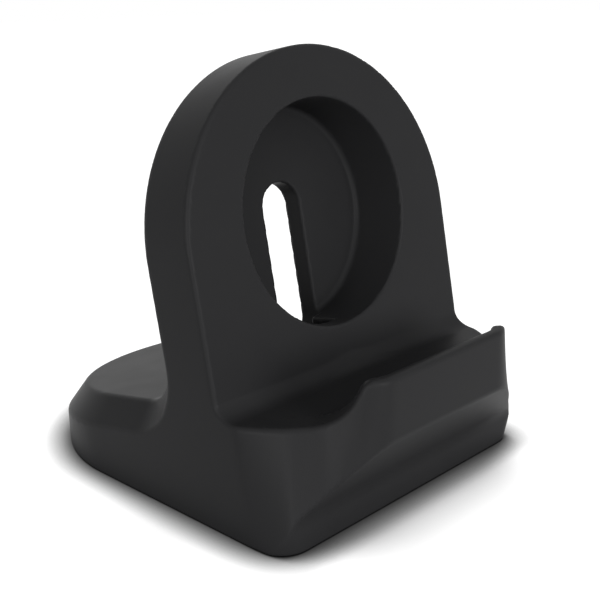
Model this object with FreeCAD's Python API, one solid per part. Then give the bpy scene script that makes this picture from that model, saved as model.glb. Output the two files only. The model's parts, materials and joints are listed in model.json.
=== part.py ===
"""One-piece moulded silicone charging dock for a round smartwatch charging puck.

Millimetres, +Z up, X to the right, the front lip towards -Y. The origin ends up on the
surface that the dock stands on, under the middle of its overall box. While the dock is
being shaped, y = 0 is the line where its leaning front face would meet that surface.
"""
import FreeCAD, Part
import math
import os

from FreeCAD import Vector

# Body as a whole
BODY_WIDTH = 61.8
LEAN_DEG = 10.1
PLATE_THICKNESS = 15.0
ARCH_CENTRE_UP = 43.1

# Round seat for the charging puck, placed up the leaning face
PUCK_RECESS_DIAMETER = 38.0
PUCK_RECESS_DEPTH = 11.1
PUCK_CENTRE_UP = 46.3

# Slot that the plug is threaded through, and the groove that the cable lies in
SLOT_WIDTH = 8.7
SLOT_ABOVE_CENTRE = 5.7
SLOT_BELOW_RECESS = 4.0
GROOVE_WIDTH = 3.8
GROOVE_DEPTH = 3.6
GROOVE_SETBACK = 4.2

# Shelf in front of the upright
SHELF_HEIGHT = 19.3
SHELF_FILLET = 4.0

# Raised lip, and the low wings and corners on either side of it
LIP_HEIGHT = 26.4
LIP_REACH = 17.2
LIP_WALL = 2.2
LIP_FLAT_WIDTH = 26.6
LIP_TOP_WIDTH = 36.9
LIP_DROP_RUN = 9.6
LIP_DROP_HOLLOW_RADIUS = 7.4
LIP_DROP_ROUND_RADIUS = 2.2
LIP_DROP_TURN_DEG = 50.0
WING_REACH = 8.4
WING_FLARE = 0.12
WING_ANGLE_DEG = 36.0
SHOULDER_RUN = 8.0
SHOULDER_HOLLOW_RADIUS = 3.0
SHOULDER_ROUND_RADIUS = 6.0
CORNER_LENGTH = 9.5
CORNER_SIDE_PULL = 0.22
CORNER_WING_PULL = 0.25
FLOOR_SIDE_PULL = 0.65
FLOOR_WING_PULL = 0.35
CHEEK_FLARE = 0.31
CORNER_FLARE = 0.11

# Foot, and the sloping underside that joins it to the lip
FOOT_REACH = 10.0
FOOT_HEIGHT = 5.6
FOOT_CORNER_RADIUS = 5.4
FOOT_CORNER_RADIUS_ABOVE = 2.2
UNDERCUT_TOP = 16.1
UNDERCUT_ROUND = 5.0

# Base behind the upright
REAR_TOP_UP = 19.8
REAR_CENTRE = 35.5
BACK_FILLET = 7.0
BACK_BEVEL_INSET = 3.8
BACK_BEVEL_DROP = 4.5

HALF_WIDTH = BODY_WIDTH / 2
RECESS_RADIUS = PUCK_RECESS_DIAMETER / 2
LEAN = math.radians(LEAN_DEG)
ACROSS = Vector(1, 0, 0)
UP_FACE = Vector(0, math.sin(LEAN), math.cos(LEAN))
INTO_FACE = Vector(0, math.cos(LEAN), -math.sin(LEAN))
DOWN = Vector(0, 0, -1)
BEYOND = 120.0


def on_face(x, up, depth=0.0):
    """Point on the leaning front face, or that deep behind it."""
    return ACROSS * x + UP_FACE * up + INTO_FACE * depth


def line(start, end):
    return Part.LineSegment(start, end).toShape()


def arc(start, middle, end):
    return Part.Arc(start, middle, end).toShape()


def solid_prism(edges, along):
    return Part.Face(Part.Wire(Part.__sortEdges__(edges))).extrude(along)


def polygon_prism(points, along):
    return Part.Face(Part.makePolygon(points + points[:1])).extrude(along)


def s_bend(place, start, end, hollow_radius, round_radius, start_angle=0.0):
    """Edges of an S-bend that ends level, in the plane that place(u, v) gives."""
    (u0, v0), (u1, v1) = start, end
    side = 1 if v1 > v0 else -1
    run = u1 - u0 + hollow_radius * math.sin(start_angle)
    rise = abs(v1 - v0) - hollow_radius * math.cos(start_angle) - round_radius
    reach = math.hypot(run, rise)
    turn = math.asin((hollow_radius + round_radius) / reach) + math.atan2(rise, run)

    def hollow(angle):
        return place(u0 + hollow_radius * (math.sin(angle) - math.sin(start_angle)),
                     v0 + side * hollow_radius * (math.cos(start_angle) - math.cos(angle)))

    def crown(angle):
        return place(u1 - round_radius * math.sin(angle),
                     v1 - side * round_radius * (1 - math.cos(angle)))

    return [arc(hollow(start_angle), hollow((start_angle + turn) / 2), hollow(turn)),
            line(hollow(turn), crown(turn)),
            arc(crown(turn), crown(turn / 2), crown(0))]


def mirrored(edges):
    """The same edges on the right-hand side of the dock, running back the other way."""
    return [edge.mirror(Vector(0, 0, 0), ACROSS) for edge in reversed(edges)]


def corner_start(z):
    """How far forward the straight sides run at height z."""
    return CORNER_LENGTH - WING_REACH - CORNER_FLARE * (LIP_HEIGHT - z)


def lip_plan(z, inset):
    """Left shoulder, flat and right shoulder of the lip at height z, that far inside its skin."""
    wing = math.radians(WING_ANGLE_DEG)
    flat = LIP_FLAT_WIDTH / 2 + CHEEK_FLARE * (LIP_HEIGHT - z)
    reach = WING_REACH + WING_FLARE * (LIP_HEIGHT - z)
    start = (-flat - SHOULDER_RUN + inset * math.sin(wing), inset * math.cos(wing) - reach)
    end = (-flat, -LIP_REACH + inset)
    bend = s_bend(lambda x, y: Vector(x, y, z), start, end,
                  SHOULDER_HOLLOW_RADIUS + inset, SHOULDER_ROUND_RADIUS - inset, wing)
    middle = line(Vector(-flat, -LIP_REACH + inset, z), Vector(flat, -LIP_REACH + inset, z))
    return bend + [middle] + mirrored(bend)


def wing_direction(side):
    wing = math.radians(WING_ANGLE_DEG)
    return Vector(side * math.cos(wing), math.sin(wing), 0)


def front_outline(z, side_pull, wing_pull):
    """Plan outline of the front at height z: corners, wings, shoulders and the flat of the lip."""
    lip = lip_plan(z, 0)
    corner_from = Vector(-HALF_WIDTH, corner_start(z), z)
    corner_to = lip[0].firstVertex(True).Point
    length = (corner_from.y - corner_to.y) * side_pull
    width = (corner_to.x - corner_from.x) * wing_pull
    curve = Part.BezierCurve()
    curve.setPoles([corner_from, corner_from - Vector(0, length, 0),
                    corner_to + wing_direction(-1) * width, corner_to])
    corner = [curve.toShape()]
    rear = line(Vector(HALF_WIDTH, corner_from.y, z), corner_from)
    return Part.Wire(corner + lip + mirrored(corner) + [rear])


def lip_pocket():
    """Space behind the lip, down to the shelf."""
    lip = lip_plan(LIP_HEIGHT, LIP_WALL)
    left = lip[0].firstVertex(True).Point
    right = Vector(-left.x, left.y, left.z)
    points = [left, left + wing_direction(-1) * HALF_WIDTH, Vector(-BODY_WIDTH, PLATE_THICKNESS, left.z),
              Vector(BODY_WIDTH, PLATE_THICKNESS, left.z), right + wing_direction(1) * HALF_WIDTH, right]
    rest = [line(start, end) for start, end in zip(points, points[1:])]
    return solid_prism(lip + rest, DOWN * (LIP_HEIGHT - SHELF_HEIGHT))


def above_drop(side):
    """Waste above the lip's drop to the shelf on one side, which runs level across the wall."""
    turn = math.radians(LIP_DROP_TURN_DEG)
    along = Vector(side * math.cos(turn), math.sin(turn), 0)
    across = Vector(-side * math.sin(turn), math.cos(turn), 0)
    origin = Vector(side * LIP_TOP_WIDTH / 2, -LIP_REACH, 0) - across * BEYOND

    def at(run, z):
        return origin - along * run + Vector(0, 0, z)

    drop = s_bend(at, (-LIP_DROP_RUN, SHELF_HEIGHT), (0, LIP_HEIGHT),
                  LIP_DROP_HOLLOW_RADIUS, LIP_DROP_ROUND_RADIUS)
    top = [at(0, LIP_HEIGHT), at(0, BEYOND), at(-BEYOND, BEYOND), at(-BEYOND, SHELF_HEIGHT),
           at(-LIP_DROP_RUN, SHELF_HEIGHT)]
    rest = [line(start, end) for start, end in zip(top, top[1:])]
    return solid_prism(drop + rest, across * (2 * BEYOND))


def front_block():
    """Shelf, wings and lip, flaring as they go down and cut under to the foot."""
    side = [Vector(-HALF_WIDTH, y, z) for y, z in (
        (corner_start(0), 0), (corner_start(LIP_HEIGHT), LIP_HEIGHT),
        (PLATE_THICKNESS, LIP_HEIGHT), (PLATE_THICKNESS, 0))]
    outline = Part.makeLoft([front_outline(0, FLOOR_SIDE_PULL, FLOOR_WING_PULL),
                             front_outline(LIP_HEIGHT, CORNER_SIDE_PULL, CORNER_WING_PULL)],
                            True, True)
    outline = outline.fuse(polygon_prism(side, ACROSS * BODY_WIDTH))
    block = outline.cut([lip_pocket(), above_drop(-1), above_drop(1)]).fuse(shelf_fillet(outline))
    return block.common(foot_limit())


def foot_limit():
    """Everything behind the foot's front and the sloping underside of the lip."""
    slope = (UNDERCUT_TOP - FOOT_HEIGHT) / (LIP_REACH - FOOT_REACH)
    steep = math.atan(slope)
    turn = math.pi / 2 - steep
    setback = UNDERCUT_ROUND * math.tan(turn / 2)

    def at(y, z):
        return Vector(-BEYOND, y, z)

    low = at(-FOOT_REACH, FOOT_HEIGHT - setback)
    high = at(-FOOT_REACH - setback * math.cos(steep), FOOT_HEIGHT + setback * math.sin(steep))
    centre = low + Vector(0, -UNDERCUT_ROUND, 0)
    middle = centre + Vector(0, math.cos(turn / 2), math.sin(turn / 2)) * UNDERCUT_ROUND
    tip = at(-BEYOND, FOOT_HEIGHT + slope * (BEYOND - FOOT_REACH))
    edges = [line(at(-FOOT_REACH, 0), low), arc(low, middle, high), line(high, tip),
             line(tip, at(BEYOND, tip.z)), line(at(BEYOND, tip.z), at(BEYOND, 0)),
             line(at(BEYOND, 0), at(-FOOT_REACH, 0))]
    limit = solid_prism(edges, Vector(2 * BEYOND, 0, 0))
    return limit.cut([foot_corner(-1), foot_corner(1)])


def foot_corner(side):
    """Waste outside the foot's front corner, which gets tighter as it goes up."""
    def outline(radius, z):
        centre = Vector(side * (HALF_WIDTH - radius), radius - FOOT_REACH, z)
        flank = centre + Vector(side * radius, 0, 0)
        front = centre + Vector(0, -radius, 0)
        middle = centre + Vector(side, -1, 0) * (radius / math.sqrt(2))
        outer = Vector(side * BODY_WIDTH, -LIP_REACH * 2, z)
        before = Vector(front.x, outer.y, z)
        beside = Vector(outer.x, flank.y, z)
        return Part.Wire([arc(flank, middle, front), line(front, before), line(before, outer),
                          line(outer, beside), line(beside, flank)])

    return Part.makeLoft([outline(FOOT_CORNER_RADIUS, 0),
                          outline(FOOT_CORNER_RADIUS_ABOVE, FOOT_HEIGHT)], True, True)


def shelf_fillet(outline):
    """Soft join between the shelf and the leaning face, kept within the outline block."""
    setback = SHELF_FILLET * math.tan((math.pi / 2 - LEAN) / 2)
    corner = on_face(0, SHELF_HEIGHT / math.cos(LEAN))
    low = corner + Vector(0, -setback, 0)
    high = corner + UP_FACE * setback
    centre = low + Vector(0, 0, SHELF_FILLET)
    middle = centre + (corner - centre).normalize() * SHELF_FILLET
    behind = Vector(0, high.y, low.z)
    filler = solid_prism([arc(low, middle, high), line(high, behind), line(behind, low)],
                         ACROSS * BEYOND)
    return filler.translated(ACROSS * (-BEYOND / 2)).common(outline)


def upright():
    """Arched plate that leans back, cut off level with the surface it stands on."""
    left = on_face(-HALF_WIDTH, ARCH_CENTRE_UP)
    right = on_face(HALF_WIDTH, ARCH_CENTRE_UP)
    low_left = on_face(-HALF_WIDTH, -PLATE_THICKNESS)
    low_right = on_face(HALF_WIDTH, -PLATE_THICKNESS)
    crown = on_face(0, ARCH_CENTRE_UP + HALF_WIDTH)
    plate = solid_prism([line(low_left, left), arc(left, crown, right), line(right, low_right),
                         line(low_right, low_left)], INTO_FACE * PLATE_THICKNESS)
    floor = Part.makeBox(BEYOND, BEYOND, BEYOND, Vector(-BEYOND / 2, -BEYOND / 2, -BEYOND))
    return plate.cut(floor)


def rear_base():
    """Base behind the upright: round-ended in plan, its top square to the leaning plate."""
    start = PLATE_THICKNESS / 2
    left = Vector(-HALF_WIDTH, REAR_CENTRE, 0)
    right = Vector(HALF_WIDTH, REAR_CENTRE, 0)
    end = Vector(0, REAR_CENTRE + HALF_WIDTH, 0)
    plan = [line(Vector(-HALF_WIDTH, start, 0), left), arc(left, end, right),
            line(right, Vector(HALF_WIDTH, start, 0)),
            line(Vector(HALF_WIDTH, start, 0), Vector(-HALF_WIDTH, start, 0))]
    block = solid_prism(plan, Vector(0, 0, BEYOND))
    above = polygon_prism([on_face(-BEYOND, REAR_TOP_UP, depth) for depth in (-BEYOND, BEYOND)]
                          + [on_face(-BEYOND, 2 * BEYOND, depth) for depth in (BEYOND, -BEYOND)],
                          Vector(2 * BEYOND, 0, 0))
    return block.cut(above)


def edges_where(shape, test):
    """Edges whose ends and middle all pass the test."""
    found = []
    for edge in shape.Edges:
        first, last = edge.ParameterRange
        points = [edge.valueAt(first + (last - first) * share) for share in (0.02, 0.5, 0.98)]
        if all(test(point) for point in points):
            found.append(edge)
    return found


def near(a, b):
    return abs(a - b) < 0.01


def on_side(point):
    """On the outer wall of the arch, the straight sides or the rounded rear."""
    up = point.dot(UP_FACE)
    if point.y > REAR_CENTRE and up < REAR_TOP_UP + 0.01:
        return near(math.hypot(point.x, point.y - REAR_CENTRE), HALF_WIDTH)
    if up > ARCH_CENTRE_UP:
        return near(math.hypot(point.x, up - ARCH_CENTRE_UP), HALF_WIDTH)
    return near(abs(point.x), HALF_WIDTH)


def on_back(point):
    """On the back of the plate, the rear top or the fillet between them."""
    up, depth = point.dot(UP_FACE), point.dot(INTO_FACE)
    centre_up, centre_depth = REAR_TOP_UP + BACK_FILLET, PLATE_THICKNESS + BACK_FILLET
    if up < centre_up and depth < centre_depth:
        return near(math.hypot(up - centre_up, depth - centre_depth), BACK_FILLET)
    return near(depth, PLATE_THICKNESS) or near(up, REAR_TOP_UP)


def puck_recess():
    """Round seat that the charging puck drops into, its floor square to its wall."""
    return Part.makeCylinder(RECESS_RADIUS, 2 * PUCK_RECESS_DEPTH,
                             on_face(0, PUCK_CENTRE_UP, -PUCK_RECESS_DEPTH), INTO_FACE)


def round_slot(width, top, bottom, depth_from, depth_to):
    """Round-ended slot down the middle of the face."""
    radius = width / 2
    corners = [(-radius, top - radius), (radius, top - radius),
               (radius, bottom + radius), (-radius, bottom + radius)]
    a, b, c, d = [on_face(x, up, depth_from) for x, up in corners]
    edges = [arc(a, on_face(0, top, depth_from), b), line(b, c),
             arc(c, on_face(0, bottom, depth_from), d), line(d, a)]
    return solid_prism(edges, INTO_FACE * (depth_to - depth_from))


def dock_body():
    body = front_block().fuse([upright(), rear_base()]).removeSplitter()

    back_edge = edges_where(body, lambda p: near(p.dot(UP_FACE), REAR_TOP_UP)
                            and near(p.dot(INTO_FACE), PLATE_THICKNESS))
    body = body.makeFillet(BACK_FILLET, back_edge)
    bevelled = edges_where(body, lambda p: on_side(p) and on_back(p))
    body = body.makeChamfer(BACK_BEVEL_INSET, BACK_BEVEL_DROP, bevelled)

    recess_bottom = PUCK_CENTRE_UP - RECESS_RADIUS
    past_back = PLATE_THICKNESS + BACK_FILLET
    slot = round_slot(SLOT_WIDTH, PUCK_CENTRE_UP + SLOT_ABOVE_CENTRE,
                      recess_bottom - SLOT_BELOW_RECESS, PUCK_RECESS_DEPTH, past_back)
    groove = round_slot(GROOVE_WIDTH, PUCK_CENTRE_UP, recess_bottom - GROOVE_DEPTH,
                        GROOVE_SETBACK, past_back)
    return body.cut([puck_recess(), slot, groove])


front, rear = -LIP_REACH, REAR_CENTRE + HALF_WIDTH
body = dock_body().translated(Vector(0, -(front + rear) / 2, 0))
if not body.isValid() or len(body.Solids) != 1:
    raise RuntimeError("the dock did not come out as one valid solid")

os.makedirs("parts", exist_ok=True)
body.Solids[0].exportStep("parts/dock_body.step")
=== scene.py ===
"""Studio picture of a one-piece moulded silicone dock for a round watch charging puck.

The dock's skin is worked out again from the same sizes as its solid, this time with every
edge rounded as a mould rounds it, and is given a fine matte silicone finish. All sizes are
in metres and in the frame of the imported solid: +Z up, the front lip towards -Y.
"""
import json
import math

import bpy
import numpy as np
from mathutils import Matrix, Vector


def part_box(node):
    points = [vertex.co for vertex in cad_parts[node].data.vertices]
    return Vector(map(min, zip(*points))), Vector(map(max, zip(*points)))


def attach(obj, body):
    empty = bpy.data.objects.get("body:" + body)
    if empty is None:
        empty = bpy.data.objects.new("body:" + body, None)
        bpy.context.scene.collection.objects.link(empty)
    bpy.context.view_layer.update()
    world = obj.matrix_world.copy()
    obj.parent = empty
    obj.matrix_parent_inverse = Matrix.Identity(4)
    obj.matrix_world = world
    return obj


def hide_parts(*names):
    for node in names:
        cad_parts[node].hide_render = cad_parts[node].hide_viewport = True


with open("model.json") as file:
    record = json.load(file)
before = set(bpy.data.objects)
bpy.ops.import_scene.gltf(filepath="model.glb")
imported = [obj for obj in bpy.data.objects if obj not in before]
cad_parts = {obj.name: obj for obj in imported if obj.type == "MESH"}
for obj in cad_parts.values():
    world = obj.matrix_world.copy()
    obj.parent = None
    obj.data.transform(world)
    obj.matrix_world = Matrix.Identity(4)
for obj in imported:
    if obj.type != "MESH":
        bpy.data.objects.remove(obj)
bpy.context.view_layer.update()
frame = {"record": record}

bl_info = {
    "name": "Silicone watch dock",
    "version": (1, 0, 0),
    "blender": (4, 5, 0),
    "location": "View3D > Sidebar > Dock",
    "description": "Builds a moulded silicone watch dock and the studio round it",
    "category": "Add Mesh",
}

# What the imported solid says: its box, and the round seat up its leaning face
NODE = "dock_body"
BODY = "moulded_body"
LOW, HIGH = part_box(NODE)
SEAT = next(m for m in frame["record"]["mounts"] if m["name"] == "puck_seat")
MM = 0.001
HALF_WIDTH = HIGH.x
SEAT_RADIUS = SEAT["dims"]["r_mm"] * MM
SEAT_DEPTH = SEAT["dims"]["length_mm"] * MM
LEAN = math.asin(abs(SEAT["axis"][2]))

# Leaning plate and its arch, measured up the leaning face
PLATE_THICKNESS = 0.0150
ARCH_CENTRE_UP = 0.0431
SEAT_CENTRE_UP = 0.0463

# Slot that the plug is threaded through, and the groove that the cable lies in
SLOT_WIDTH = 0.0087
SLOT_ABOVE_CENTRE = 0.0057
SLOT_BELOW_SEAT = 0.0040
GROOVE_WIDTH = 0.0038
GROOVE_DEPTH = 0.0036
GROOVE_SETBACK = 0.0042

# Shelf, lip, wings and corners at the front
SHELF_HEIGHT = 0.0193
SHELF_FILLET = 0.0040
LIP_HEIGHT = 0.0264
LIP_REACH = 0.0172
LIP_WALL = 0.0022
LIP_FLAT_WIDTH = 0.0266
LIP_TOP_WIDTH = 0.0369
LIP_DROP_RUN = 0.0096
LIP_DROP_HOLLOW_RADIUS = 0.0074
LIP_DROP_ROUND_RADIUS = 0.0022
LIP_DROP_TURN = math.radians(50.0)
WING_REACH = 0.0084
WING_FLARE = 0.12
WING_ANGLE = math.radians(36.0)
SHOULDER_RUN = 0.0080
SHOULDER_HOLLOW_RADIUS = 0.0030
SHOULDER_ROUND_RADIUS = 0.0060
CORNER_LENGTH = 0.0095
CORNER_SIDE_PULL = 0.22
CORNER_WING_PULL = 0.25
FLOOR_SIDE_PULL = 0.50
FLOOR_WING_PULL = 0.45
CHEEK_FLARE = 0.31
CORNER_FLARE = 0.11

# Each bend of the front's plan is drawn with this many points. The bends are then eased over
# this length, and the whole plan is worked out again at this many points
BEND_POINTS = 24
FRONT_EASE = 0.0005
CHAIN_POINTS = 90

# Foot, and the sloping underside that joins it to the lip
FOOT_REACH = 0.0100
FOOT_HEIGHT = 0.0056
FOOT_CORNER_RADIUS = 0.0054
FOOT_CORNER_RADIUS_ABOVE = 0.0022
UNDERCUT_TOP = 0.0161
UNDERCUT_ROUND = 0.0050

# Base behind the upright
REAR_TOP_UP = 0.0198
BACK_FILLET = 0.0070
BEVEL_INSET = 0.0038
BEVEL_DROP = 0.0045

# The solid's own origin is under the middle of its box, and the sizes above count from
# the line where the leaning face meets the floor
FACE_FOOT_Y = LOW.y + LIP_REACH
REAR_CENTRE = HIGH.y - FACE_FOOT_Y - HALF_WIDTH
PAST_REAR = 3 * HALF_WIDTH


def round_keep(a, b, radius):
    """What lies in both shapes, the edge between them rounded. Negative is inside."""
    corner = np.hypot(np.maximum(a + radius, 0), np.maximum(b + radius, 0))
    return np.minimum(-radius, np.maximum(a, b)) + corner


def round_join(a, b, radius):
    """What lies in either shape, with a fillet between them. Negative is inside."""
    corner = np.hypot(np.maximum(radius - a, 0), np.maximum(radius - b, 0))
    return np.maximum(radius, np.minimum(a, b)) - corner


def softness(radius, turn):
    """Radius for round_keep and round_join that gives an arc of this radius over this turn."""
    return radius * (1 - math.cos(turn))


def s_turn(run, rise, hollow_radius, round_radius, start_angle=0.0):
    """How far an S-bend turns between its two arcs, when it ends level."""
    run += hollow_radius * math.sin(start_angle)
    rise -= hollow_radius * math.cos(start_angle) + round_radius
    return math.asin((hollow_radius + round_radius) / math.hypot(run, rise)) + math.atan2(rise, run)


def arc_points(centre, radius, start, end, steps):
    angles = np.linspace(start, end, steps)
    return np.stack([centre[0] + radius * np.cos(angles), centre[1] + radius * np.sin(angles)], 1)


def bezier_points(poles, steps):
    t = np.linspace(0, 1, steps)[:, None]
    a, b, c, d = [np.array(pole) for pole in poles]
    return a * (1 - t) ** 3 + 3 * b * t * (1 - t) ** 2 + 3 * c * t ** 2 * (1 - t) + d * t ** 3


def eased(line, ease):
    """The line in even steps, its bends eased over this length and its straight ends kept."""
    way = np.concatenate([[0], np.cumsum(np.linalg.norm(np.diff(line, axis=0), axis=1))])
    even = np.linspace(0, way[-1], CHAIN_POINTS)
    points = np.stack([np.interp(even, way, line[:, 0]), np.interp(even, way, line[:, 1])], 1)
    weight = np.exp(-((even[:, None] - even) / ease) ** 2 / 2)
    return weight @ points / weight.sum(1, keepdims=True)


def front_chain(z, side_pull, wing_pull):
    """Plan of the front's right half at height z: flat of the lip, shoulder, wing corner, side."""
    flat = LIP_FLAT_WIDTH / 2 + CHEEK_FLARE * (LIP_HEIGHT - z)
    reach = WING_REACH + WING_FLARE * (LIP_HEIGHT - z)
    turn = s_turn(SHOULDER_RUN, LIP_REACH - reach, SHOULDER_HOLLOW_RADIUS,
                  SHOULDER_ROUND_RADIUS, WING_ANGLE)
    level = -math.pi / 2
    crown = arc_points((flat, SHOULDER_ROUND_RADIUS - LIP_REACH), SHOULDER_ROUND_RADIUS,
                       level, level + turn, BEND_POINTS)
    wing = np.array([flat + SHOULDER_RUN, -reach])
    centre = wing + SHOULDER_HOLLOW_RADIUS * np.array([math.sin(WING_ANGLE), -math.cos(WING_ANGLE)])
    hollow = arc_points(centre, SHOULDER_HOLLOW_RADIUS, math.pi / 2 + turn, math.pi / 2 + WING_ANGLE,
                        BEND_POINTS)
    side = np.array([HALF_WIDTH, CORNER_LENGTH - WING_REACH - CORNER_FLARE * (LIP_HEIGHT - z)])
    along_wing = np.array([math.cos(WING_ANGLE), math.sin(WING_ANGLE)])
    corner = bezier_points([wing, wing + along_wing * (side[0] - wing[0]) * wing_pull,
                            side - np.array([0, side[1] - wing[1]]) * side_pull, side],
                           BEND_POINTS)
    bends = np.concatenate([[[0, -LIP_REACH]], crown, hollow, corner[1:],
                            [[HALF_WIDTH, side[1] + CORNER_LENGTH]]])
    return np.concatenate([[[-HALF_WIDTH, -LIP_REACH]], eased(bends, FRONT_EASE),
                           [[HALF_WIDTH, PAST_REAR]]])


FRONT_AT_FLOOR = front_chain(0.0, FLOOR_SIDE_PULL, FLOOR_WING_PULL).T
FRONT_AT_LIP = front_chain(LIP_HEIGHT, CORNER_SIDE_PULL, CORNER_WING_PULL).T
FRONT_RISE = (FRONT_AT_LIP - FRONT_AT_FLOOR) / LIP_HEIGHT
POINTS_AT_ONCE = 1500


def plan_distance(x, y, z):
    """Distance from the front's plan outline at each point's height, negative inside it."""
    found = np.empty_like(x)
    for first in range(0, len(x), POINTS_AT_ONCE):
        part = slice(first, first + POINTS_AT_ONCE)
        level = z[part, None]
        chain_x = FRONT_AT_FLOOR[0] + FRONT_RISE[0] * level
        chain_y = FRONT_AT_FLOOR[1] + FRONT_RISE[1] * level
        along_x, along_y = np.diff(chain_x), np.diff(chain_y)
        way_x, way_y = x[part, None] - chain_x[:, :-1], y[part, None] - chain_y[:, :-1]
        reach = (way_x * along_x + way_y * along_y) / (along_x ** 2 + along_y ** 2)
        reach = np.clip(reach, 0, 1)
        apart = (way_x - reach * along_x) ** 2 + (way_y - reach * along_y) ** 2
        nearest = (np.arange(len(apart)), apart.argmin(1))
        beside = along_x[nearest] * way_y[nearest] - along_y[nearest] * way_x[nearest]
        found[part] = np.copysign(np.sqrt(apart[nearest]), -beside)
    return found


def outer_wall(x, y, z, up):
    """Walls seen from above and from the front: front outline, straight sides, arch, round rear."""
    rear = np.hypot(x, np.maximum(y - REAR_CENTRE, 0)) - HALF_WIDTH
    arch = np.hypot(x, np.maximum(up - ARCH_CENTRE_UP, 0)) - HALF_WIDTH
    wall = np.maximum(rear, arch)
    front = (y < CORNER_LENGTH - WING_REACH) & (z < LIP_HEIGHT + LIP_WALL)
    outline = wall.copy()
    outline[front] = plan_distance(x[front], y[front], z[front])
    return np.maximum(wall, outline), wall


def lip_drop(x, y, z):
    """Top of the lip and its S-shaped drop to the shelf, level across the lip's wall."""
    turn = s_turn(LIP_DROP_RUN, LIP_HEIGHT - SHELF_HEIGHT, LIP_DROP_HOLLOW_RADIUS,
                  LIP_DROP_ROUND_RADIUS)
    run = ((x - LIP_TOP_WIDTH / 2) * math.cos(LIP_DROP_TURN)
           + (y + LIP_REACH) * math.sin(LIP_DROP_TURN))
    slope = ((run - LIP_DROP_ROUND_RADIUS * math.sin(turn)) * math.sin(turn)
             + (z - LIP_HEIGHT + LIP_DROP_ROUND_RADIUS * (1 - math.cos(turn))) * math.cos(turn))
    crest = round_keep(z - LIP_HEIGHT, slope, softness(LIP_DROP_ROUND_RADIUS, turn))
    return round_join(z - SHELF_HEIGHT, crest, softness(LIP_DROP_HOLLOW_RADIUS, turn))


def front_top(x, y, z, edges):
    """Shelf, and the lip that stands up in front of it."""
    inner = np.full_like(x, HALF_WIDTH)
    near = (y < 0) & (z > SHELF_HEIGHT - LIP_WALL) & (z < LIP_HEIGHT + LIP_WALL)
    inner[near] = -plan_distance(x[near], y[near], np.full_like(x[near], LIP_HEIGHT)) - LIP_WALL
    height = np.maximum(-lip_drop(x, y, np.full_like(x, SHELF_HEIGHT)), 0)
    shelf = round_join(z - SHELF_HEIGHT, inner, np.minimum(edges.crease, height / 2))
    return round_keep(shelf, lip_drop(x, y, z), np.minimum(edges.rim, height / 2))


def underside(x, y, z):
    """Foot front and the slope up to the lip, both rounded towards the sides."""
    steep = math.atan2(UNDERCUT_TOP - FOOT_HEIGHT, LIP_REACH - FOOT_REACH)
    slope = -(y + FOOT_REACH) * math.sin(steep) - (z - FOOT_HEIGHT) * math.cos(steep)
    front = round_join(-FOOT_REACH - y, slope, softness(UNDERCUT_ROUND, math.pi / 2 - steep))
    tighten = (FOOT_CORNER_RADIUS - FOOT_CORNER_RADIUS_ABOVE) / FOOT_HEIGHT
    return round_keep(front, x - HALF_WIDTH, np.maximum(FOOT_CORNER_RADIUS - tighten * z, 0))


def openings(x, up, depth, edges):
    """Round seat, the slot through its floor and the cable groove below it."""
    def slot(width, top, bottom, start):
        over = np.maximum(up - top + width / 2, bottom + width / 2 - up)
        sides = np.hypot(x, np.maximum(over, 0)) - width / 2
        return np.maximum(sides, start - depth)

    seat = round_keep(np.hypot(x, up - SEAT_CENTRE_UP) - SEAT_RADIUS, depth - SEAT_DEPTH,
                      edges.seat_floor)
    bottom = SEAT_CENTRE_UP - SEAT_RADIUS
    wide = slot(SLOT_WIDTH, SEAT_CENTRE_UP + SLOT_ABOVE_CENTRE, bottom - SLOT_BELOW_SEAT,
                SEAT_DEPTH - edges.seat_floor)
    narrow = slot(GROOVE_WIDTH, SEAT_CENTRE_UP, bottom - GROOVE_DEPTH, GROOVE_SETBACK)
    return round_join(round_join(seat, wide, edges.slot), narrow, edges.slot)


def dock_skin(points, edges):
    """How far each point lies outside the dock's skin, negative inside it."""
    x, y, z = np.abs(points[:, 0]), points[:, 1] - FACE_FOOT_Y, points[:, 2]
    up = y * math.sin(LEAN) + z * math.cos(LEAN)
    depth = y * math.cos(LEAN) - z * math.sin(LEAN)
    outer, wall = outer_wall(x, y, z, up)

    front = round_join(front_top(x, y, z, edges), -depth,
                       softness(SHELF_FILLET, math.pi / 2 - LEAN))
    back = round_join(depth - PLATE_THICKNESS, up - REAR_TOP_UP, BACK_FILLET)
    tilt = math.atan2(BEVEL_INSET, BEVEL_DROP)
    bevel = (1 + wall / BEVEL_INSET + back / BEVEL_DROP) / math.hypot(1 / BEVEL_INSET, 1 / BEVEL_DROP)

    skin = round_keep(front, outer, edges.rim)
    skin = round_keep(skin, underside(x, y, z), softness(edges.undercut, math.pi / 4))
    skin = round_keep(skin, round_keep(back, bevel, softness(edges.bevel, math.pi / 2 - tilt)),
                      softness(edges.bevel, tilt))
    skin = round_keep(skin, -z, edges.bottom)
    return round_keep(skin, -openings(x, up, depth, edges), edges.slot)


# The mesh is laid on a grid that reaches this many steps past the skin. Its points are settled on
# the skin in this many rounds. Slopes are read a share of a step away, and a slope's square counts
# as at least this much.
MARGIN = 1.5
SETTLE_ROUNDS = 2
SETTLE_REACH = 1 / 20
NORMAL_REACH = 1 / 8
LEAST_SLOPE = 0.25
TINY = 1e-12

# Corners of a tetrahedron, whose four readings give a slope
TETRAHEDRON = np.array([(1, 1, 1), (1, -1, -1), (-1, 1, -1), (-1, -1, 1)])


def slopes(points, skin, reach):
    """Direction and steepness in which the skin's distance grows at each point."""
    return sum(skin(points + corner * reach)[:, None] * corner for corner in TETRAHEDRON) / (4 * reach)


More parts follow.
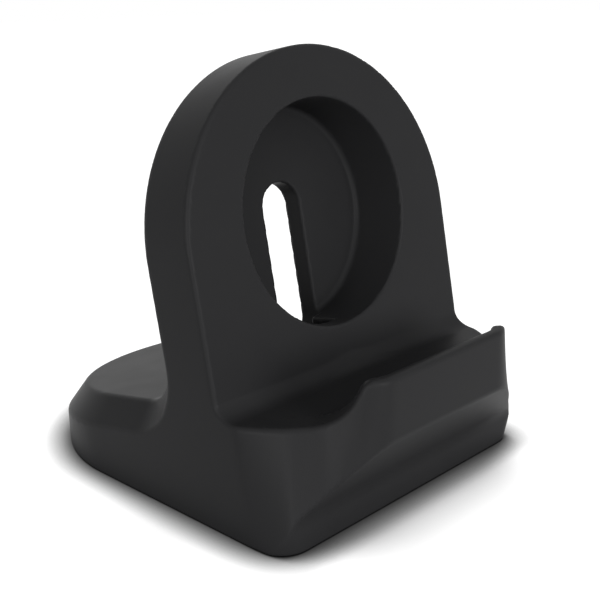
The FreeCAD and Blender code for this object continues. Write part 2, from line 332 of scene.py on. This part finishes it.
def surface_quads(skin, low, counts, step):
    """Points and four-sided faces on a left-right alike skin: one point in each cell it crosses."""
    value = np.empty(counts)
    rows = low[1] + step * np.arange(counts[1])
    levels = low[2] + step * np.arange(counts[2])
    across, upward = np.meshgrid(rows, levels, indexing="ij")
    for i in range(counts[0] // 2 + 1):
        slab = np.stack([np.full(across.size, low[0] + step * i), across.ravel(), upward.ravel()], 1)
        value[i] = value[-1 - i] = skin(slab).reshape(across.shape)
    inside = value < 0

    cells, places, faces = [], [], []
    for axis in range(3):
        ahead = [slice(None)] * 3
        ahead[axis] = slice(1, None)
        behind = [slice(None)] * 3
        behind[axis] = slice(None, -1)
        crossed = np.argwhere(inside[tuple(ahead)] != inside[tuple(behind)])
        here = value[tuple(crossed.T)]
        far = crossed.copy()
        far[:, axis] += 1
        there = value[tuple(far.T)]
        place = crossed.astype(float)
        place[:, axis] += here / (here - there)
        first, second = [(1, 2), (2, 0), (0, 1)][axis]
        corners = []
        for back_first, back_second in ((1, 1), (0, 1), (0, 0), (1, 0)):
            cell = crossed.copy()
            cell[:, first] -= back_first
            cell[:, second] -= back_second
            corners.append(np.ravel_multi_index(cell.T, counts))
            cells.append(corners[-1])
            places.append(place)
        quad = np.stack(corners, 1)
        quad[there < 0] = quad[there < 0][:, ::-1]
        faces.append(quad)
    names, index = np.unique(np.concatenate(cells), return_inverse=True)
    place = np.concatenate(places)
    total = np.stack([np.bincount(index, place[:, k]) for k in range(3)], 1)
    points = low + step * total / np.bincount(index)[:, None]
    return points, np.searchsorted(names, np.concatenate(faces))


def settle(points, skin, step):
    """Moves points straight onto the skin."""
    for _ in range(SETTLE_ROUNDS):
        slope = slopes(points, skin, step * SETTLE_REACH)
        move = -(skin(points) / np.maximum((slope ** 2).sum(1), LEAST_SLOPE))[:, None] * slope
        length = np.linalg.norm(move, axis=1, keepdims=True)
        points = points + move * np.minimum(1, step / 2 / np.maximum(length, TINY))
    return points


def directions(points, skin, step):
    """Which way the skin faces at each point."""
    slope = slopes(points, skin, step * NORMAL_REACH)
    return slope / np.maximum(np.linalg.norm(slope, axis=1, keepdims=True), TINY)


class DockShape(bpy.types.PropertyGroup):
    """Roundings that the mould gives the dock's edges."""
    step: bpy.props.FloatProperty(
        name="Mesh step", description="Width of one face of the skin", default=0.00054, unit="LENGTH",
        precision=5)
    rim: bpy.props.FloatProperty(
        name="Rim", description="Rounding of the rim round the face and along the lip", default=0.0007,
        unit="LENGTH", precision=5)
    seat_floor: bpy.props.FloatProperty(
        name="Seat floor", description="Rounding between the seat's floor and its wall", default=0.0010,
        unit="LENGTH", precision=5)
    slot: bpy.props.FloatProperty(
        name="Openings", description="Rounding of the edges of the seat, slot and groove",
        default=0.00045, unit="LENGTH", precision=5)
    crease: bpy.props.FloatProperty(
        name="Lip foot", description="Rounding where the lip's inner wall meets the shelf",
        default=0.0010, unit="LENGTH", precision=5)
    bevel: bpy.props.FloatProperty(
        name="Bevel", description="Rounding of the two edges of the bevel at the back", default=0.0012,
        unit="LENGTH", precision=5)
    undercut: bpy.props.FloatProperty(
        name="Undercut", description="Rounding of the edge between the front wall and the underside",
        default=0.0008, unit="LENGTH", precision=5)
    bottom: bpy.props.FloatProperty(
        name="Bottom", description="Rounding of the bottom edge", default=0.0006, unit="LENGTH",
        precision=5)


class SiliconeFinish(bpy.types.PropertyGroup):
    """Colour and texture of the moulded silicone."""
    colour: bpy.props.FloatVectorProperty(
        name="Colour", description="Colour of the silicone", default=(0.0200, 0.0200, 0.0210),
        subtype="COLOR", min=0.0, max=1.0)
    pale_colour: bpy.props.FloatVectorProperty(
        name="Pale colour", description="Colour of the silicone where it is a little paler",
        default=(0.0225, 0.0225, 0.0232), subtype="COLOR", min=0.0, max=1.0)
    roughness: bpy.props.FloatProperty(
        name="Roughness", description="Mean roughness of the surface", default=0.44, min=0.0, max=1.0,
        subtype="FACTOR")
    roughness_spread: bpy.props.FloatProperty(
        name="Roughness spread", description="How much the roughness changes over the surface",
        default=0.02, min=0.0, max=1.0, subtype="FACTOR")
    gloss: bpy.props.FloatProperty(
        name="Gloss", description="Specular level of the surface", default=0.07, min=0.0, max=1.0,
        subtype="FACTOR")
    grain: bpy.props.FloatProperty(
        name="Grain", description="Width of one grain of the mould's texture", default=0.00022,
        unit="LENGTH", precision=5)
    grain_depth: bpy.props.FloatProperty(
        name="Grain depth", description="Depth of the mould's texture", default=0.000012,
        unit="LENGTH", precision=6)
    cloud: bpy.props.FloatProperty(
        name="Cloud", description="Width of one patch of the finish's slow change", default=0.009,
        unit="LENGTH", precision=5)


class StudioSetup(bpy.types.PropertyGroup):
    """Camera and light of the studio."""
    lens: bpy.props.FloatProperty(
        name="Lens", description="Focal length on a 36 mm sensor, in millimetres", default=61.16,
        subtype="DISTANCE_CAMERA")
    camera_place: bpy.props.FloatVectorProperty(
        name="Camera", description="Where the camera stands", default=(-0.1231, -0.1297, 0.0809),
        subtype="TRANSLATION")
    ambient: bpy.props.FloatProperty(
        name="Ambient", description="Strength of the even light from all round", default=0.08, min=0.0)
    front: bpy.props.FloatProperty(
        name="Front", description="Power of the low lamp in front, in watts", default=2.0,
        subtype="POWER")
    left: bpy.props.FloatProperty(
        name="Left", description="Power of the low lamp on the left, in watts", default=0.15,
        subtype="POWER")
    near: bpy.props.FloatProperty(
        name="Near", description="Power of the low lamp beside the camera, in watts", default=1.8,
        subtype="POWER")
    high: bpy.props.FloatProperty(
        name="High", description="Power of the high lamp in front, in watts", default=0.25,
        subtype="POWER")
    rear: bpy.props.FloatProperty(
        name="Rear", description="Power of the low lamp behind, in watts", default=0.12,
        subtype="POWER")
    floor_light: bpy.props.FloatProperty(
        name="Floor light", description="Strength of the light from above, which reaches only the floor",
        default=2.4, min=0.0)


def new_object(name, mesh):
    made = bpy.data.objects.new(name, mesh)
    bpy.context.scene.collection.objects.link(made)
    return made


def add_nodes(tree, kinds):
    """Nodes by name, each given as its kind and the values of its inputs."""
    made = {}
    for name, (kind, values) in kinds.items():
        node = tree.nodes.new(kind)
        node.name = node.label = name
        for socket, value in values.items():
            node.inputs[socket].default_value = value
        made[name] = node
    return made


# Silicone's index of refraction, the detail of its two patterns, and the values between which
# nearly all of a pattern lies
SILICONE_IOR = 1.41
GRAIN_DETAIL = 2.0
CLOUD_DETAIL = 4.0
CLOUD_ROUGHNESS = 0.6
PATTERN_LOW = 0.3
PATTERN_HIGH = 0.7


def silicone_material(finish):
    """Matte silicone: fine mould grain, and a colour and a roughness that change a little."""
    material = bpy.data.materials.new("matte_silicone")
    material.use_nodes = True
    tree = material.node_tree
    tree.nodes.clear()
    smooth = finish.roughness - finish.roughness_spread
    rough = finish.roughness + finish.roughness_spread
    nodes = add_nodes(tree, {
        "Output": ("ShaderNodeOutputMaterial", {}),
        "Silicone": ("ShaderNodeBsdfPrincipled", {
            "IOR": SILICONE_IOR, "Specular IOR Level": finish.gloss}),
        "Place": ("ShaderNodeTexCoord", {}),
        "Grain": ("ShaderNodeTexNoise", {"Scale": 1 / finish.grain, "Detail": GRAIN_DETAIL}),
        "Cloud": ("ShaderNodeTexNoise", {
            "Scale": 1 / finish.cloud, "Detail": CLOUD_DETAIL, "Roughness": CLOUD_ROUGHNESS}),
        "Colour": ("ShaderNodeMix", {}),
        "Finish": ("ShaderNodeMapRange", {
            "From Min": PATTERN_LOW, "From Max": PATTERN_HIGH, "To Min": smooth, "To Max": rough}),
        "Bump": ("ShaderNodeBump", {"Distance": finish.grain_depth}),
    })
    colour = nodes["Colour"]
    colour.data_type = "RGBA"
    plain, pale = [socket for socket in colour.inputs if socket.type == "RGBA"]
    plain.default_value = (*finish.colour, 1.0)
    pale.default_value = (*finish.pale_colour, 1.0)
    mixed = next(socket for socket in colour.outputs if socket.type == "RGBA")
    links = tree.links
    links.new(nodes["Place"].outputs["Object"], nodes["Grain"].inputs["Vector"])
    links.new(nodes["Place"].outputs["Object"], nodes["Cloud"].inputs["Vector"])
    links.new(nodes["Cloud"].outputs["Fac"], colour.inputs["Factor"])
    links.new(mixed, nodes["Silicone"].inputs["Base Color"])
    links.new(nodes["Cloud"].outputs["Fac"], nodes["Finish"].inputs["Value"])
    links.new(nodes["Finish"].outputs["Result"], nodes["Silicone"].inputs["Roughness"])
    links.new(nodes["Grain"].outputs["Fac"], nodes["Bump"].inputs["Height"])
    links.new(nodes["Bump"].outputs["Normal"], nodes["Silicone"].inputs["Normal"])
    links.new(nodes["Silicone"].outputs["BSDF"], nodes["Output"].inputs["Surface"])
    return material


class DOCK_OT_body(bpy.types.Operator):
    """Make the dock's moulded body"""
    bl_idname = "dock.body"
    bl_label = "Silicone body"

    def execute(self, context):
        edges = context.scene.dock_shape
        step = edges.step * 1

        def skin(points):
            return dock_skin(points, edges)

        half = math.ceil(HALF_WIDTH / step) + 1
        low = np.array([-half * step, LOW.y - MARGIN * step, LOW.z - MARGIN * step])
        length, height = [math.ceil((end - start) / step) + 2 for start, end in
                          ((low[1], HIGH.y), (low[2], HIGH.z))]
        counts = (2 * half + 1, length, height)
        points, faces = surface_quads(skin, low, counts, step)
        points = settle(points, skin, step)
        mesh = bpy.data.meshes.new(BODY)
        mesh.from_pydata(points, [], faces)
        mesh.validate()
        mesh.shade_smooth()
        places = np.empty(len(mesh.vertices) * 3)
        mesh.vertices.foreach_get("co", places)
        places = places.reshape(-1, 3)
        mesh.normals_split_custom_set_from_vertices(directions(places, skin, step))
        mesh.materials.append(silicone_material(context.scene.silicone_finish))
        body = new_object(BODY, mesh)
        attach(body, "root")
        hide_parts(NODE)
        return {"FINISHED"}


def white_to_camera(tree, shader_socket, plain, white):
    """Links plain light for the object, and white for what the camera and reflections see."""
    path = tree.nodes.new("ShaderNodeLightPath")
    seen = path.outputs["Is Camera Ray"]
    for other in ("Is Glossy Ray", "Is Transmission Ray"):
        either = tree.nodes.new("ShaderNodeMath")
        either.operation = "MAXIMUM"
        tree.links.new(seen, either.inputs[0])
        tree.links.new(path.outputs[other], either.inputs[1])
        seen = either.outputs[0]
    mix = tree.nodes.new("ShaderNodeMixShader")
    tree.links.new(seen, mix.inputs["Fac"])
    tree.links.new(plain, mix.inputs[1])
    tree.links.new(white, mix.inputs[2])
    tree.links.new(mix.outputs[0], shader_socket)


# Floor: half its width, and its plain grey. What the camera and reflections see of it is lifted
# by a little light of its own, and a painted contact shadow darkens it towards the dock within this reach
FLOOR_HALF_WIDTH = 3.0
FLOOR_GREY = 0.12
FLOOR_LIFT = 0.35
PAINTED_SHADOW_REACH = 0.006
PAINTED_SHADOW_POWER = 3.0


def floor_material():
    """Plain grey to the object's light. To the camera it is white, with the floor lamp's shadow and a
    painted contact shadow.
    """
    material = bpy.data.materials.new("studio_floor")
    material.use_nodes = True
    tree = material.node_tree
    tree.nodes.clear()
    nodes = add_nodes(tree, {
        "Output": ("ShaderNodeOutputMaterial", {}),
        "Plain floor": ("ShaderNodeBsdfDiffuse", {"Color": (FLOOR_GREY, FLOOR_GREY, FLOOR_GREY, 1.0)}),
        "Nearness": ("ShaderNodeAmbientOcclusion", {"Distance": PAINTED_SHADOW_REACH}),
        "Contact": ("ShaderNodeMath", {1: PAINTED_SHADOW_POWER}),
        "Lit floor": ("ShaderNodeBsdfDiffuse", {}),
        "Lift": ("ShaderNodeEmission", {"Strength": FLOOR_LIFT}),
        "White floor": ("ShaderNodeAddShader", {}),
    })
    # Painted contact shadow: the ambient-occlusion nearness to the dock, raised to a power, darkens the
    # floor's colour and its own glow
    nodes["Contact"].operation = "POWER"
    tree.links.new(nodes["Nearness"].outputs["AO"], nodes["Contact"].inputs[0])
    tree.links.new(nodes["Contact"].outputs[0], nodes["Lit floor"].inputs["Color"])
    tree.links.new(nodes["Contact"].outputs[0], nodes["Lift"].inputs["Color"])
    tree.links.new(nodes["Lit floor"].outputs[0], nodes["White floor"].inputs[0])
    tree.links.new(nodes["Lift"].outputs[0], nodes["White floor"].inputs[1])
    white_to_camera(tree, nodes["Output"].inputs["Surface"], nodes["Plain floor"].outputs[0],
                    nodes["White floor"].outputs[0])
    return material


def studio_world(ambient):
    """A little even light on the object, and white behind it."""
    world = bpy.data.worlds.new("studio")
    world.use_nodes = True
    tree = world.node_tree
    tree.nodes.clear()
    nodes = add_nodes(tree, {
        "Output": ("ShaderNodeOutputWorld", {}),
        "Plain": ("ShaderNodeBackground", {"Color": (1, 1, 1, 1), "Strength": ambient}),
        "White": ("ShaderNodeBackground", {"Color": (1, 1, 1, 1), "Strength": 1.0}),
    })
    white_to_camera(tree, nodes["Output"].inputs["Surface"], nodes["Plain"].outputs[0],
                    nodes["White"].outputs[0])
    bpy.context.scene.world = world


# Where the soft lamps stand: turned from the front towards the left, and raised, in degrees
LAMPS = {"front": (0, 8), "left": (90, 8), "near": (62, 8), "high": (20, 60), "rear": (205, 15)}
LAMP_DISTANCE = 0.55
LAMP_WIDTH = 0.30

# The floor's own light comes from almost overhead, in degrees too
FLOOR_LAMP_TURN = 225
FLOOR_LAMP_RISE = 87
FLOOR_LAMP_SPREAD = 36


def lamp_direction(turn, rise):
    """Direction from the dock to a lamp, turned from the front towards the left, then raised."""
    return Matrix.Rotation(-math.radians(turn), 3, "Z") @ Matrix.Rotation(
        -math.radians(rise), 3, "X") @ Vector((0, -1, 0))


def lamp(name, kind, turn, rise, lit):
    """Lamp of a kind that shines at the middle of the dock and lights one object alone."""
    light = bpy.data.lights.new(name, kind)
    made = bpy.data.objects.new(name, light)
    way = lamp_direction(turn, rise)
    made.location = Vector((0, 0, (LOW.z + HIGH.z) / 2)) + way * LAMP_DISTANCE
    made.rotation_euler = (-way).to_track_quat("-Z", "Y").to_euler()
    bpy.context.scene.collection.objects.link(made)
    receiver = bpy.data.collections.new("lit by " + name)
    receiver.objects.link(lit)
    made.light_linking.receiver_collection = receiver
    return light


def soft_lamp(name, turn, rise, power):
    """Wide round lamp for the dock alone."""
    light = lamp(name, "AREA", turn, rise, bpy.data.objects[BODY])
    light.shape = "DISK"
    light.size = LAMP_WIDTH
    light.energy = power


def floor_lamp(floor, strength):
    """Light from above, for the floor alone: it draws the dock's shadow."""
    light = lamp("floor light", "SUN", FLOOR_LAMP_TURN, FLOOR_LAMP_RISE, floor)
    light.energy = strength
    light.angle = math.radians(FLOOR_LAMP_SPREAD)


def studio_camera(studio):
    """Camera that sees the dock as the photograph does."""
    ahead = Vector((0.6837, 0.6698, -0.2897))
    across = Vector((0.6947, -0.7190, -0.0225))
    above = Vector((0.2234, 0.1858, 0.9568))
    data = bpy.data.cameras.new("camera")
    data.lens = studio.lens
    data.sensor_width = 36.0
    data.clip_start, data.clip_end = 0.005, 10.0
    camera = bpy.data.objects.new("camera", data)
    camera.matrix_world = Matrix.Translation(studio.camera_place) @ Matrix(
        (across, above, -ahead)).transposed().to_4x4()
    bpy.context.scene.collection.objects.link(camera)
    bpy.context.scene.camera = camera


class DOCK_OT_studio(bpy.types.Operator):
    """Make the floor, the light and the camera"""
    bl_idname = "dock.studio"
    bl_label = "Studio"

    def execute(self, context):
        studio = context.scene.studio_setup
        mesh = bpy.data.meshes.new("floor")
        reach = FLOOR_HALF_WIDTH
        mesh.from_pydata([(-reach, -reach, 0), (reach, -reach, 0), (reach, reach, 0), (-reach, reach, 0)],
                         [], [(0, 1, 2, 3)])
        mesh.materials.append(floor_material())
        floor = new_object("floor", mesh)
        studio_world(studio.ambient)
        for name, (turn, rise) in LAMPS.items():
            soft_lamp(name + " lamp", turn, rise, getattr(studio, name))
        floor_lamp(floor, studio.floor_light)
        studio_camera(studio)
        context.scene.view_settings.view_transform = "Standard"
        return {"FINISHED"}


class DOCK_PT_panel(bpy.types.Panel):
    """Buttons for the dock and its studio"""
    bl_idname = "DOCK_PT_panel"
    bl_label = "Silicone dock"
    bl_space_type = "VIEW_3D"
    bl_region_type = "UI"
    bl_category = "Dock"

    def draw(self, context):
        for name in ("dock_shape", "silicone_finish", "studio_setup"):
            settings = getattr(context.scene, name)
            for prop in settings.__annotations__:
                self.layout.prop(settings, prop)
        self.layout.operator(DOCK_OT_body.bl_idname)
        self.layout.operator(DOCK_OT_studio.bl_idname)


SETTINGS = {"dock_shape": DockShape, "silicone_finish": SiliconeFinish, "studio_setup": StudioSetup}
CLASSES = (DOCK_OT_body, DOCK_OT_studio, DOCK_PT_panel)


def register():
    for name, kind in SETTINGS.items():
        bpy.utils.register_class(kind)
        setattr(bpy.types.Scene, name, bpy.props.PointerProperty(type=kind))
    for kind in CLASSES:
        bpy.utils.register_class(kind)


def unregister():
    for kind in reversed(CLASSES):
        bpy.utils.unregister_class(kind)
    for name, kind in SETTINGS.items():
        delattr(bpy.types.Scene, name)
        bpy.utils.unregister_class(kind)


def main():
    register()
    bpy.ops.dock.body()
    bpy.ops.dock.studio()


if __name__ == "__main__":
    main()
